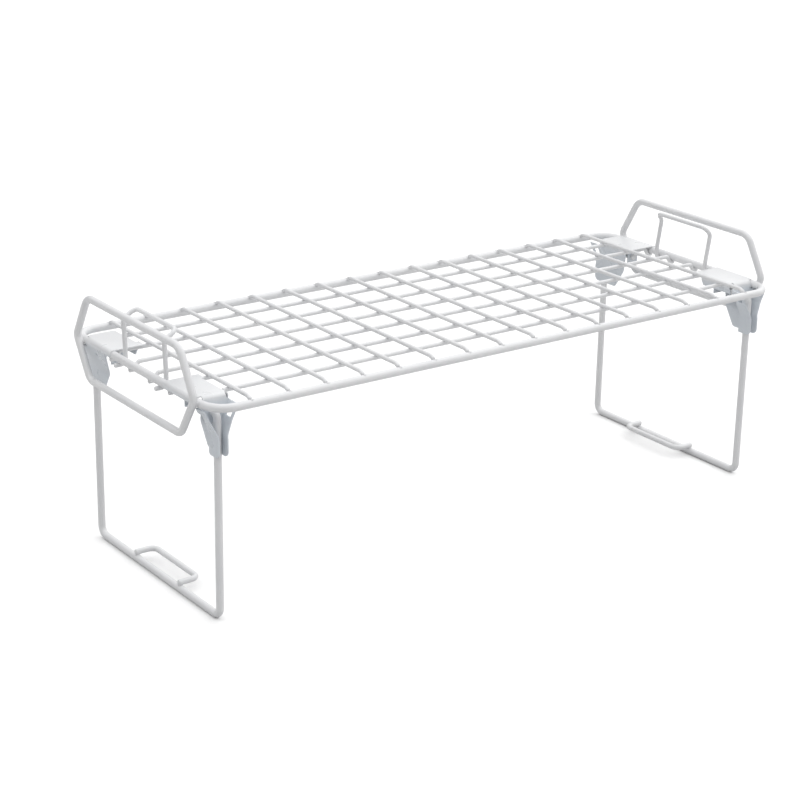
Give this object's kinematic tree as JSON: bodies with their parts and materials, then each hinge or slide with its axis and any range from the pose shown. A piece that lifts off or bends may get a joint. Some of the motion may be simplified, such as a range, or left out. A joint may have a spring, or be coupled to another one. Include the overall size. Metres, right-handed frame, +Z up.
{
  "type": "folding wire shelf riser",
  "caption": "Folding wire shelf riser: a grid deck on hinged wire leg frames, with end loops for lifting and stacking and low end stops.",
  "frame": {"origin": "middle of the shelf, on the surface that the foot wires stand on", "axes": "+X along the length to the right end, +Y from the front to the back, +Z up"},
  "size_m": [0.6108, 0.2372, 0.2294],
  "materials": {
    "coated_wire": "white epoxy powder coat on steel wire, satin gloss",
    "coated_sheet": "white epoxy powder coat on pressed steel sheet, satin gloss"
  },
  "bodies": {
    "deck": {"rim_wire": "coated_wire", "cross_wire_01": "coated_wire", "cross_wire_02": "coated_wire", "cross_wire_03": "coated_wire", "cross_wire_04": "coated_wire", "cross_wire_05": "coated_wire", "cross_wire_06": "coated_wire", "cross_wire_07": "coated_wire", "cross_wire_08": "coated_wire", "cross_wire_09": "coated_wire", "cross_wire_10": "coated_wire", "cross_wire_11": "coated_wire", "cross_wire_12": "coated_wire", "cross_wire_13": "coated_wire", "cross_wire_14": "coated_wire", "cross_wire_15": "coated_wire", "cross_wire_16": "coated_wire", "long_wire_1": "coated_wire", "long_wire_2": "coated_wire", "long_wire_3": "coated_wire", "long_wire_4": "coated_wire", "long_wire_5": "coated_wire", "long_wire_6": "coated_wire", "end_loop_left": "coated_wire", "end_loop_right": "coated_wire", "end_stop_left": "coated_wire", "end_stop_right": "coated_wire", "hinge_bracket_front_left": "coated_sheet", "hinge_bracket_back_left": "coated_sheet", "hinge_bracket_front_right": "coated_sheet", "hinge_bracket_back_right": "coated_sheet"},
    "left_legs": {"leg_frame_left": "coated_wire", "foot_loop_left": "coated_wire"},
    "right_legs": {"leg_frame_right": "coated_wire", "foot_loop_right": "coated_wire"}
  },
  "joints": [
    {"name": "left_legs_fold", "type": "hinge", "parent": "deck", "child": "left_legs", "pos_m": [-0.284, 0, 0.1758], "axis": [0, -1, 0], "range_deg": [0, 85]},
    {"name": "right_legs_fold", "type": "hinge", "parent": "deck", "child": "right_legs", "pos_m": [0.284, 0, 0.1758], "axis": [0, 1, 0], "range_deg": [0, 85]}
  ]
}
